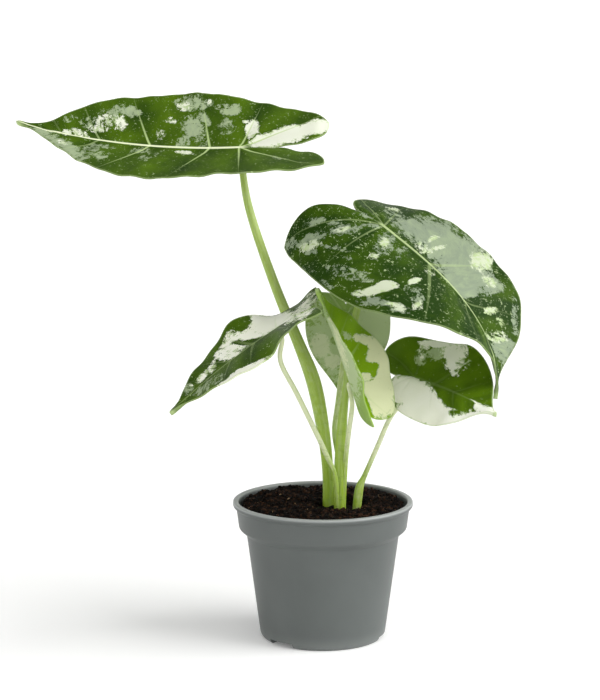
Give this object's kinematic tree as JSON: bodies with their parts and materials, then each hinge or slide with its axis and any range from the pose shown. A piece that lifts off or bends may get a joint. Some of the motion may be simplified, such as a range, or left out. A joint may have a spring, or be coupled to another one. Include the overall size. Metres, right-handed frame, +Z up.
{
  "type": "potted variegated alocasia frydek",
  "caption": "Young variegated Alocasia frydek with arrow-shaped green, mint and cream leaves on pale stalks, in a small round grey nursery pot of soil.",
  "frame": {"origin": "on the pot's axis, in the plane of the flat underside on which the pot stands", "axes": "+Z up along the pot's axis, +X to the right and -Y towards the viewer in the usual front view; the highest leaf's tip points to -X"},
  "size_m": [0.0929, 0.0373, 0.0996],
  "materials": {
    "green_leaf": "velvety green with mint and cream variegation and pale veins",
    "stalk": "smooth pale green, slightly glossy",
    "corm": "rough brown skin",
    "soil": "dark peaty potting mix with light specks",
    "grey_plastic": "thin moulded mid-grey polypropylene, satin"
  },
  "bodies": {
    "root": {"pot": "grey_plastic", "soil": "soil", "corm": "corm", "high_blade": "green_leaf", "broad_blade": "green_leaf", "folded_blade": "green_leaf", "young_blade": "green_leaf", "back_blade": "green_leaf", "low_blade": "green_leaf", "high_stalk": "stalk", "broad_stalk": "stalk", "folded_stalk": "stalk", "young_stalk": "stalk", "back_stalk": "stalk", "low_stalk": "stalk"}
  },
  "joints": []
}
